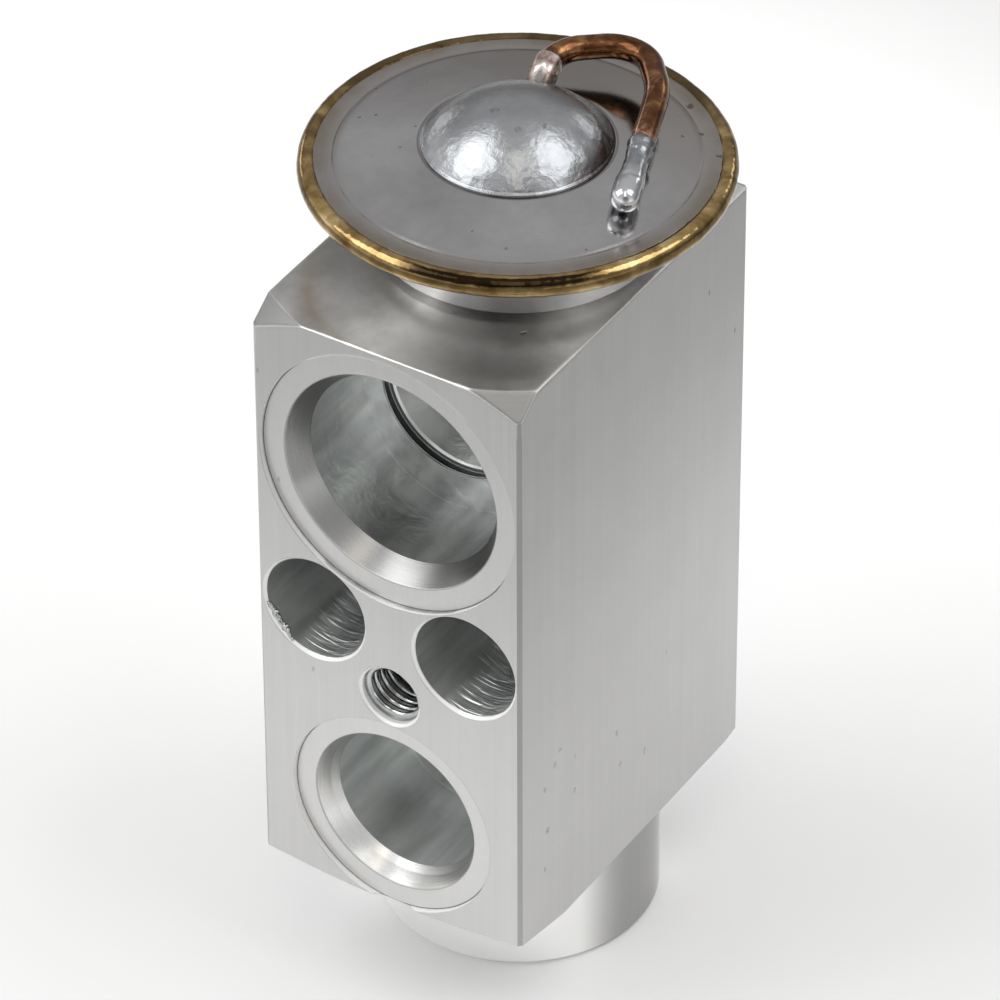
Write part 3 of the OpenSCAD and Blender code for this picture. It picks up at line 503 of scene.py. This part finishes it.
def weld_gold():
    """Weld bead with heat colours from straw to brown, and painted shade and reflections that darken it in
    bands.
    """
    g = Graph("weld_gold")
    x, y, z = g.split(g.coord)
    radius = g.length(x, y)
    patch = g.noise(g.coord, 260, 4, 0.6, 0.4)
    fine = g.noise(g.coord, 1600, 3, 0.6)
    ragged = g.swing(g.noise(g.coord, 420, 3, 0.6), 0.0006)
    colour = g.ramp(
        patch, (0.30, (0.10, 0.062, 0.024)), (0.46, (0.24, 0.155, 0.06)), (0.60, (0.46, 0.32, 0.14)),
        (0.75, (0.74, 0.58, 0.33)),
    )
    # Painted shade: dark along the bead's inner edge and on its flank below the crown
    inner_edge_shade = g.step(g.add(radius, ragged), 0.01805, 0.0177)
    level = g.add(z, ragged)
    painted_dark_bands = g.mul(g.step(level, 0.08232, 0.08214), g.step(level, 0.08150, 0.08175, 0.45, 1.0))
    # Angle round the bead's section, and how far it faces the right front
    turn = g.add(g.math("ARCTAN2", g.sub(z, 0.08165), g.sub(radius, 0.01835)), g.mul(ragged, 900))
    facing = g.math("DIVIDE", g.sub(g.mul(x, 0.45), g.mul(y, 0.89)), radius)
    # Painted reflection: a black band where the bead faces the right front
    painted_black_reflection = g.mul(
        g.band(turn, 0.42, 0.58, 1.28, 1.42), g.step(g.add(facing, g.mul(ragged, 90)), 0.86, 0.93),
    )
    painted_dark_bands = g.most(g.mul(painted_dark_bands, 0.45), painted_black_reflection)
    # Painted shade on the far side of the bead
    colour = g.mix(g.mul(g.step(facing, -0.2, -0.6), 0.75), colour, (0.07, 0.045, 0.02))
    colour = g.mix(g.mul(g.most(inner_edge_shade, painted_dark_bands), 0.96), colour, (0.016, 0.010, 0.006))
    g.shade(Base_Color=colour, Metallic=1.0, Roughness=g.add(0.04, g.mul(patch, 0.14)))
    g.shade(Normal=g.bump(g.add(patch, g.mul(fine, 0.4)), 0.3, 0.00015))
    return g.mat


def tin():
    """Dome sheet, smooth blue-grey on top, dented and marked on its flank, with painted shade and a painted
    reflection.
    """
    g = Graph("tin")
    x, y, z = g.split(g.coord)
    cloud = g.noise(g.coord, 260, 5, 0.6)
    flank = g.step(z, 0.0868, 0.0854)
    dents = g.cells(g.coord, 900)
    fine = g.noise(g.coord, 2600, 3, 0.6)
    colour = g.ramp(cloud, (0.3, (0.31, 0.32, 0.335)), (0.7, (0.40, 0.41, 0.42)))
    marks = g.nicks(
        0.5,
        (
            (-1.2, -1.9, 88.0, 0.5, 0.9), (1.9, -3.0, 87.6, 0.45, 0.8), (-5.6, 1.8, 86.6, 0.25, 0.5),
            (3.6, -1.2, 87.7, 0.35, 0.8),
        ),
    )
    specks = g.cells(g.coord, 420)
    dark = g.most(g.mul(g.step(specks, 0.06, 0.03), 0.6), g.mul(marks, g.step(fine, 0.35, 0.6, 0.1, 0.55)))
    # Painted shade round the dome's foot
    rim = g.mul(g.step(z, 0.08412, 0.08402), 0.5)
    # Painted reflection of the tube, dark on the right flank
    right = g.step(g.add(x, g.mul(y, 0.3)), 0.0058, 0.0074)
    side = g.mul(right, g.step(z, 0.0860, 0.0846), g.step(cloud, 0.3, 0.55, 0.5, 0.85))
    colour = g.mix(side, colour, (0.07, 0.05, 0.045))
    colour = g.mix(g.most(dark, rim), colour, (0.12, 0.12, 0.13))
    g.shade(
        Base_Color=colour, Metallic=1.0, Roughness=g.add(g.blend(flank, 0.18, 0.20), g.mul(cloud, 0.14)),
    )
    g.shade(Normal=g.bump(g.add(g.mul(dents, g.blend(flank, 0.35, 1.0)), g.mul(fine, 0.6)), 0.5, 0.0001))
    return g.mat


def copper():
    """Tarnished copper tube with brown patches, painted pink reflections, painted shade below and ochre at
    its end.
    """
    g = Graph("copper")
    y = g.split(g.coord)[1]
    patch = g.noise(g.coord, 420, 5, 0.62, 0.5)
    long = g.noise(g.stretch(g.coord, 900, 260, 900), 1, 3, 0.6)
    fine = g.noise(g.coord, 2600, 3, 0.6)
    colour = g.ramp(
        patch, (0.30, (0.055, 0.022, 0.010)), (0.5, (0.16, 0.068, 0.030)), (0.72, (0.42, 0.23, 0.105)),
    )
    # Painted reflection: pink streaks along the tube
    painted_pink_reflection = g.mul(g.step(long, 0.56, 0.68), g.step(y, 0.013, 0.009))
    colour = g.mix(g.mul(painted_pink_reflection, 0.55), colour, (0.60, 0.33, 0.24))
    # Painted shade on the tube's underside
    nz = g.split(g.normal)[2]
    colour = g.mix(g.mul(g.step(nz, -0.1, -0.55), 0.9), colour, (0.02, 0.011, 0.006))
    end = g.mul(g.step(y, 0.0052, 0.0036), g.step(fine, 0.42, 0.6, 0.2, 0.9))
    colour = g.mix(end, colour, (0.62, 0.34, 0.22))
    g.shade(Base_Color=colour, Metallic=1.0, Roughness=g.add(0.09, g.mul(fine, 0.18)))
    g.shade(Normal=g.bump(g.add(patch, g.mul(fine, 0.3)), 0.22, 0.0001))
    return g.mat


def tinned_copper():
    """Copper under a thin, patchy coat of tin."""
    g = Graph("tinned_copper")
    patch = g.noise(g.coord, 900, 4, 0.6, 0.6)
    # Edges lightened as wear and with a painted highlight
    worn_highlit_edge = g.edges(g.bevel(0.00022), 0.01, 0.12)
    colour = g.ramp(patch, (0.36, (0.36, 0.25, 0.21)), (0.5, (0.58, 0.47, 0.43)), (0.7, (0.74, 0.67, 0.65)))
    colour = g.mix(worn_highlit_edge, colour, (0.90, 0.84, 0.80))
    g.shade(Base_Color=colour, Metallic=1.0, Roughness=g.add(0.18, g.mul(patch, 0.2)))
    g.shade(Normal=g.bump(patch, 0.4, 0.0001, g.bevel(0.00015)))
    return g.mat


def solder():
    """Solder skin: dull and dark where it wets the tube, bright on the drop."""
    g = Graph("solder")
    y = g.split(g.coord)[1]
    patch = g.noise(g.coord, 800, 4, 0.6, 0.3)
    drop = g.step(y, 0.0006, -0.0018)
    start = g.mul(g.step(y, 0.0026, 0.0034), g.step(patch, 0.35, 0.6, 0.4, 1.0))
    colour = g.mix(
        drop, g.ramp(patch, (0.3, (0.20, 0.21, 0.22)), (0.65, (0.38, 0.40, 0.42))), (0.62, 0.63, 0.65),
    )
    colour = g.mix(g.mul(start, 0.8), colour, (0.12, 0.12, 0.12))
    g.shade(Base_Color=colour, Metallic=1.0, Roughness=g.add(g.blend(drop, 0.16, 0.04), g.mul(patch, 0.14)))
    g.shade(Normal=g.bump(patch, 0.25, 0.00012))
    return g.mat


def turned_metal(name, colour, roughness, scale=7000, strength=0.12):
    """Turned piece round the valve axis, with fine rings and soft clouds."""
    g = Graph(name)
    x, y, z = g.split(g.coord)
    radius = g.length(x, y)
    rings = g.noise(g.join(g.mul(radius, scale), 0, g.mul(z, scale)), 1, 3, 0.6)
    cloud = g.noise(g.coord, 240, 4, 0.6)
    dark = tuple(c * 0.86 for c in colour)
    g.shade(Base_Color=g.ramp(cloud, (0.3, dark), (0.7, colour)), Metallic=1.0)
    g.shade(Roughness=g.add(roughness - 0.06, g.mul(rings, 0.12)))
    g.shade(Normal=g.bump(rings, strength, 0.00006))
    return g.mat


def rubber():
    """Black seal rings."""
    g = Graph("rubber")
    fine = g.noise(g.coord, 2500, 4, 0.6)
    g.shade(
        Base_Color=g.ramp(fine, (0.3, (0.018, 0.018, 0.019)), (0.7, (0.032, 0.032, 0.034))),
        Roughness=g.add(0.42, g.mul(fine, 0.2)),
    )
    g.shade(Normal=g.bump(fine, 0.2, 0.00005))
    return g.mat


def add_mesh(name, verts, faces, body, material, *nodes):
    """Smooth piece that rides on a body and stands for CAD nodes, where they are given."""
    mesh = bpy.data.meshes.new(name)
    mesh.from_pydata([tuple(v) for v in verts], [], faces)
    mesh.validate()
    for p in mesh.polygons:
        p.use_smooth = True
    work = bmesh.new()
    work.from_mesh(mesh)
    bmesh.ops.recalc_face_normals(work, faces=work.faces)
    work.to_mesh(mesh)
    work.free()
    obj = bpy.data.objects.new(name, mesh)
    scene.collection.objects.link(obj)
    mesh.materials.append(material)
    if nodes:
        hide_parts(*nodes)
    if body:
        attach(obj, body)
    return obj


def grid_faces(rows, cols, closed=False):
    """Faces of a tube whose rows are loops of cols points. closed joins the last row to the first."""
    faces = []
    for i in range(rows if closed else rows - 1):
        here, there = i * cols, (i + 1) % rows * cols
        for j in range(cols):
            k = (j + 1) % cols
            faces.append((here + j, there + j, there + k, here + k))
    return faces


def wobble(p, scale, amount):
    """Smooth unevenness in space, the same each run."""
    return noise.noise(Vector(p) * scale) * amount


def weld_bead(material):
    """The bead round the rim, a little uneven in width and height."""
    steps, sides = 720, 28
    centre_r, centre_z, bead_r = 18.35, TOP + 7.45, 0.98
    verts = []
    for i in range(steps):
        a = TAU * i / steps
        ring = Vector((math.cos(a), math.sin(a), 0))
        grow = bead_r + wobble(ring * 9, 1, 0.035) + wobble(ring * 30, 1, 0.02)
        for j in range(sides):
            b = TAU * j / sides
            r = centre_r + grow * math.cos(b)
            z = centre_z + grow * math.sin(b) + wobble(ring * 5, 1, 0.03)
            verts.append((ring.x * r * MM, ring.y * r * MM, z * MM))
    add_mesh("weld_bead", verts, grid_faces(steps, sides, True), "valve", material, "rim_weld")


def stud_thread(material):
    """Thread ridge inside the stud hole, cut away by the countersink."""
    turns, steps, pitch = 11, 56, 1.0
    root, crest = 3.02, 2.44
    profile = ((root, -0.46), (crest, -0.07), (crest, 0.07), (root, 0.46))
    centre_z, mouth_r = TOP - 37.7, 3.25
    verts = []
    for i in range(turns * steps + 1):
        a = TAU * i / steps
        depth = 0.5 + pitch * i / steps
        for r, d in profile:
            place = depth + d * pitch
            r = min(max(r, mouth_r - max(place, 0.0)), root) if place < 1.0 else r
            verts.append((r * math.cos(a) * MM, (FRONT + place) * MM, (centre_z + r * math.sin(a)) * MM))
    faces = grid_faces(turns * steps + 1, 4)
    faces += [(3, 2, 1, 0), tuple(len(verts) - 4 + k for k in range(4))]
    add_mesh("stud_thread", verts, faces, "valve", material)


def heading(i):
    """Direction of the tube's straight after corner i."""
    return (ROUTE[i + 1] - ROUTE[i]).normalized()


def dome_shell(material):
    """Domed sheet with small hammered dents on its flank and a rim at its foot."""
    sides, steps, inner_steps = 240, 96, 24
    inner_r, foot_z, last_z = 9.83, 83.925, 84.2
    lip = ((8.43, 84.16), (8.50, 84.12), (8.545, 84.04), (8.545, foot_z + 0.02), (8.52, foot_z))
    rings = []
    last = math.acos((last_z - DOME_Z) / DOME_R)
    for i in range(1, steps + 1):
        t = last * i / steps
        rings.append((DOME_R * math.sin(t), DOME_Z + DOME_R * math.cos(t), t))
    rings += [(r, z, None) for r, z in lip]
    low = math.acos((foot_z - DOME_Z) / inner_r)
    for i in range(inner_steps):
        t = low * (1 - i / inner_steps)
        rings.append((inner_r * math.sin(t), DOME_Z + inner_r * math.cos(t), None))
    verts = []
    for r, z, t in rings:
        for j in range(sides):
            a = TAU * j / sides
            p = Vector((r * math.cos(a), r * math.sin(a), z))
            if t is not None:
                # No dents on top or right at the rim
                out = (p - Vector((0, 0, DOME_Z))).normalized()
                dented = min(1.0, max(0.0, (t - 0.33) / 0.3)) * min(1.0, (last - t) / 0.03)
                sag = wobble(p, 1.0, 0.020) + wobble(p, 2.6, 0.011) + wobble(p, 5.5, 0.005)
                p += out * (min(0.0, wobble(p, 0.5, 0.03)) + dented * sag)
                p.z = min(p.z, DOME_Z + DOME_R)
            verts.append(p * MM)
    faces = grid_faces(len(rings), sides)
    verts += [Vector((0, 0, DOME_Z + DOME_R)) * MM, Vector((0, 0, DOME_Z + inner_r)) * MM]
    end = (len(rings) - 1) * sides
    for j in range(sides):
        k = (j + 1) % sides
        faces.append((j, k, len(verts) - 2))
        faces.append((end + k, end + j, len(verts) - 1))
    add_mesh("dome_shell", verts, faces, "valve", material, "dome_cap")


def frame_at(direction):
    """Two directions across the given one, the first of them level."""
    side = direction.cross(Vector((0, 0, 1))).normalized()
    return side, side.cross(direction).normalized()


def foot_collar(material):
    """Squared tinned sleeve round the tube's foot, from the dome into the start of the first bend."""
    sides, centre = 64, Vector((0, 0, DOME_Z))
    sleeve_r, sunk, first, bend = 1.19, 0.01, 2.95, math.radians(14)
    steps, rounding = 12, 0.08
    d0, d1 = heading(0), heading(1)
    reach = FIRST_BEND * math.tan(d0.angle(d1) / 2)
    leg = (ROUTE[1] - ROUTE[0]).length - reach
    start = ROUTE[1] - d0 * reach
    inward = (d1 - d0 * d1.dot(d0)).normalized()
    side, up = frame_at(d0)
    axis = d0.cross(inward)

    def section(j, outer):
        """Point j round the sleeve, from its axis."""
        a = TAU * j / sides
        c, s = math.cos(a), math.sin(a)
        if not outer:
            return side * (TUBE_R * c) + up * (TUBE_R * s)
        square = (abs(c) ** 3 + abs(s) ** 3) ** (-1 / 3)
        r = sleeve_r * square + wobble((c * 2, s * 2, 0), 1, 0.02)
        return side * (r * c) + up * (r * s)

    def ring(place, outer, shrink=1.0):
        """Row of points this far along the tube."""
        rows = []
        for j in range(sides):
            off = section(j, outer) * shrink
            if place <= leg:
                rows.append(ROUTE[0] + d0 * place + off)
            else:
                spin = Matrix.Rotation((place - leg) / FIRST_BEND, 3, axis)
                hub = start + inward * FIRST_BEND
                rows.append(hub + spin @ (start + off - hub))
        return rows

    def foot(outer):
        """Row of points where the sleeve meets the dome."""
        rows = []
        for j in range(sides):
            base = ROUTE[0] + section(j, outer) - centre
            b = base.dot(d0)
            t = -b + math.sqrt(b * b - base.length_squared + (DOME_R - sunk) ** 2)
            rows.append(base + centre + d0 * t)
        return rows

    end = leg + FIRST_BEND * bend
    places = [first + (end - rounding - first) * i / steps for i in range(steps + 1)]
    rows = [foot(False), foot(True)] + [ring(q, True) for q in places]
    rows += [ring(end, True, 0.975), ring(end + 0.02, False, 1.02), ring(end, False)]
    rows += [ring(q, False) for q in reversed(places)]
    verts = [p * MM for row in rows for p in row]
    add_mesh("foot_collar", verts, grid_faces(len(rows), sides, True), "valve", material, "tube_collar")


def solder_drop(material):
    """Solder over the tube's closed end, flattened along its length and round at its tip."""
    sides, length = 56, 7.3
    tip_l, tip_w, tip_h = 1.32, 1.33, 1.31
    d = heading(3)
    start = ROUTE[4] - d * length
    side, up = frame_at(d)
    # How far along the drop, its half width and half height there
    profile = (
        (1.32, 0.0, 0.0), (1.32, TUBE_R, TUBE_R), (0.0, TUBE_R, TUBE_R), (0.0, 1.19, 1.19),
        (0.12, 1.26, 1.25), (0.35, 1.29, 1.27), (0.62, 1.24, 1.22), (0.9, 1.17, 1.17), (1.4, 1.16, 1.16),
        (1.9, 1.09, 1.08), (2.6, 1.05, 1.00), (3.5, 1.10, 1.02), (4.5, 1.20, 1.09), (5.3, 1.31, 1.2),
        (6.1, 1.37, 1.28), (6.8, 1.35, 1.31),
    )
    rows = list(profile)
    for i in range(1, 13):
        t = (0.5 + 0.5 * i / 12) * math.pi
        across = math.sin(t) if i < 12 else 0.0
        rows.append((length - tip_l * math.cos(t), tip_w * across, tip_h * across))
    fine = rows[:4]
    for a, b in zip(rows[3:], rows[4:]):
        for k in range(1, 4):
            fine.append(tuple(p + (q - p) * k / 3 for p, q in zip(a, b)))
    verts = []
    for n, (s, w, h) in enumerate(fine):
        for j in range(sides):
            a = TAU * j / sides
            c, v = math.cos(a), math.sin(a)
            lump = 0.0
            if n > 3:
                at = Vector((c * 1.6, v * 1.6, s * 1.3))
                lump = (wobble(at, 1, 0.06) + wobble(at, 2.3, 0.03)) * (0.35 if s < 1.5 or s > 6 else 1)
            flat = 1 - 0.06 * max(0.0, v) ** 4 if 1.6 < s < 5.5 else 1
            ww, hh = (w + lump) * flat, (h + lump) * flat
            # The very tip and the closed end of the pocket stay smooth
            if s > 8.55 or w == 0:
                ww, hh = w, h
            verts.append((start + d * s + side * (ww * c) + up * (hh * v)) * MM)
    add_mesh("solder_drop", verts, grid_faces(len(fine), sides), "valve", material, "tube_solder")


def hole_burr(material):
    """Ragged lip that the drill left just inside the left fixing hole."""
    steps, centre = 90, Vector((-HOLE_X, 0, HOLE_Z))
    verts = []
    for i in range(steps + 1):
        t = i / steps
        a = math.radians(194 + 48 * t)  # round the hole, from its left to below
        grow = math.sin(math.pi * t) ** 0.5
        tear = 0.5 + 0.5 * noise.noise(Vector((t * 16, 2.5, 0)))
        chip = 0.5 + 0.5 * noise.noise(Vector((t * 41, 7.5, 0)))
        reach = grow * (0.10 + 0.75 * tear * tear + 0.18 * chip)
        front = -21.74 + 0.35 * grow * (0.5 + 0.5 * noise.noise(Vector((t * 9, 0.5, 3))))
        back = front + 0.16 + 0.9 * grow * (0.3 + 0.7 * tear)
        curl = 0.4 * grow * chip
        # Section of the lip, from under the face round its torn edge to the hole's wall
        section = (
            (5.34, front), (5.24 - reach * 0.5, front + 0.03), (5.22 - reach, front + curl),
            (5.20 - reach * 0.9, front + curl + 0.12), (5.21 - reach * 0.35, (front + back) / 2 + 0.1),
            (5.22, back),
        )
        for r, y in section:
            verts.append(Vector((centre.x + r * math.cos(a), y, centre.z + r * math.sin(a))) * MM)
    faces = grid_faces(steps + 1, 6)
    faces += [tuple(range(6)), tuple(len(verts) - 1 - k for k in range(6))]
    add_mesh("hole_burr", verts, faces, "valve", material)


def closing_spring(material):
    """Spring between screw and ball holder, built in two halves."""
    # Ends of the spring, radius of its coils and of its wire, in m
    low, high, coil_r, wire_r = 0.01163, 0.02057, 0.0041, 0.0007
    turns, steps, sides = 4, 40, 14
    half = turns * steps // 2

    def row(i):
        t = i / (turns * steps)
        z = low + wire_r + (high - low - 2 * wire_r) * (t - 0.04 * math.sin(TAU * t))
        a = TAU * turns * t
        points = []
        for j in range(sides):
            b = TAU * j / sides
            r = coil_r + wire_r * math.cos(b)
            points.append((r * math.cos(a), r * math.sin(a), z + wire_r * math.sin(b)))
        return points

    # Name, first row, the bodies at its lower and its upper end, and the heights between which it blends
    halves = (
        ("spring_foot", 0, "screw_carrier", "valve", 0.0125, 0.0161),
        ("spring_head", half, "valve", "opening_rod", 0.0161, 0.0200),
    )
    for name, first, below, above, start, end in halves:
        verts = [point for i in range(first, first + half + 1) for point in row(i)]
        faces = grid_faces(half + 1, sides)
        faces += [tuple(range(sides)), tuple(range(half * sides, (half + 1) * sides))]
        piece = add_mesh(name, verts, faces, None, material, "superheat_spring")
        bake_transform(piece)


def make_floor():
    """Plain pale floor with a painted pool of light: a little darker away from the object."""
    g = Graph("floor")
    x, y, _ = g.split(g.coord)
    centre_x, centre_y = -0.045, 0.03
    away = g.length(g.sub(x, centre_x), g.sub(y, centre_y))
    # Painted pool of light round the object, darkening away from it
    colour = g.ramp(away, (0.0, grey(0.93)), (0.1, grey(0.93)), (0.155, grey(0.62)), (0.5, grey(0.52)))
    g.shade(Base_Color=colour, Roughness=0.7, Specular_IOR_Level=0.1)
    half = 4
    corners = [(-half, -half, 0), (half, -half, 0), (half, half, 0), (-half, half, 0)]
    mesh = bpy.data.meshes.new("floor")
    mesh.from_pydata(corners, [], [(0, 1, 2, 3)])
    mesh.materials.append(g.mat)
    floor = bpy.data.objects.new("floor", mesh)
    scene.collection.objects.link(floor)


def make_world():
    """Soft grey room: pale low in front, dim low behind, and a dark patch at the right front."""
    world = bpy.data.worlds.new("studio")
    scene.world = world
    world.use_nodes = True
    g = Graph.on(world.node_tree)
    _, y, z = g.split(g.generated)
    near = g.ramp(
        z, (0.0, grey(1.25)), (0.2, grey(1.1)), (0.45, grey(0.68)), (0.8, (0.60, 0.60, 0.61)),
        (1.0, grey(0.66)),
    )
    far = g.ramp(
        z, (0.0, (0.26, 0.25, 0.24)), (0.2, (0.32, 0.31, 0.30)), (0.5, grey(0.56)), (0.8, grey(0.60)),
        (1.0, grey(0.66)),
    )
    room = g.mix(g.step(y, -0.25, 0.35), near, far)
    dark_side = (0.4928, -0.7853, 0.3746)
    shade = g.step(g.vec("DOT_PRODUCT", g.generated, dark_side), 0.86, 0.97, 1.0, 0.35)
    back = g.nodes.new("ShaderNodeBackground")
    g.set(back, 0, g.vec("MULTIPLY", room, g.join(shade, shade, shade)))
    out = g.nodes.new("ShaderNodeOutputWorld")
    g.links.new(back.outputs[0], out.inputs[0])


def soft_box(name, azimuth, elevation, width, height, power, colour=(1, 1, 1)):
    """Rectangular lamp that points at the object's head."""
    a, e = math.radians(azimuth), math.radians(elevation)
    direction = Vector((math.sin(a) * math.cos(e), -math.cos(a) * math.cos(e), math.sin(e)))
    place = LAMP_TARGET + LAMP_DISTANCE * direction
    data = bpy.data.lights.new(name, "AREA")
    data.shape = "RECTANGLE"
    data.size, data.size_y = width, height
    data.energy = power
    data.color = colour
    light = bpy.data.objects.new(name, data)
    light.location = place
    light.rotation_euler = (LAMP_TARGET - place).to_track_quat("-Z", "Y").to_euler()
    scene.collection.objects.link(light)


def make_studio():
    make_floor()
    make_world()
    soft_box("soft_left", -55, 50, 0.82, 0.82, 5.4)
    soft_box("soft_right", 113, 57, 0.8, 0.75, 4.2)
    soft_box("strip", 28, 64, 0.24, 0.8, 0.9, (1, 0.94, 0.84))
    soft_box("low_left", -112, 8, 0.35, 0.18, 0.3)
    soft_box("low_right", 171, 19, 0.3, 0.2, 0.3)
    scene.view_settings.view_transform = "Standard"


def dress(material, *nodes):
    """Give CAD nodes their material."""
    for node in nodes:
        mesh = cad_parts[node].data
        mesh.materials.clear()
        mesh.materials.append(material)


def main():
    make_camera()
    make_studio()
    block, weld, disc = aluminium(), weld_gold(), disc_steel()
    dome, tube, tinned, drop, seal = tin(), copper(), tinned_copper(), solder(), rubber()
    steel = turned_metal("stainless", (0.62, 0.61, 0.60), 0.26)
    brass = turned_metal("brass", (0.62, 0.48, 0.24), 0.28)
    ground = turned_metal("ground_steel", (0.66, 0.67, 0.68), 0.16, 9000, 0.05)
    wire = turned_metal("spring_wire", (0.44, 0.46, 0.48), 0.3, 5000)
    bright = turned_metal("cut_aluminium", (0.56, 0.57, 0.565), 0.12, 5000)
    dress(block, "valve_body")
    dress(disc, "upper_shell")
    dress(weld, "rim_weld")
    dress(dome, "dome_cap")
    dress(tube, "charge_tube")
    dress(tinned, "tube_collar")
    dress(drop, "tube_solder")
    dress(wire, "superheat_spring")
    dress(steel, "lower_shell", "diaphragm", "stop_plate", "seal_keeper", "damper")
    dress(ground, "push_rod", "valve_seat", "ball")
    dress(brass, "ball_holder", "adjusting_screw")
    dress(seal, "head_seal", "rod_seal", "screw_seal")
    weld_bead(weld)
    stud_thread(bright)
    dome_shell(dome)
    foot_collar(tinned)
    solder_drop(drop)
    hole_burr(bright)
    closing_spring(wire)


main()
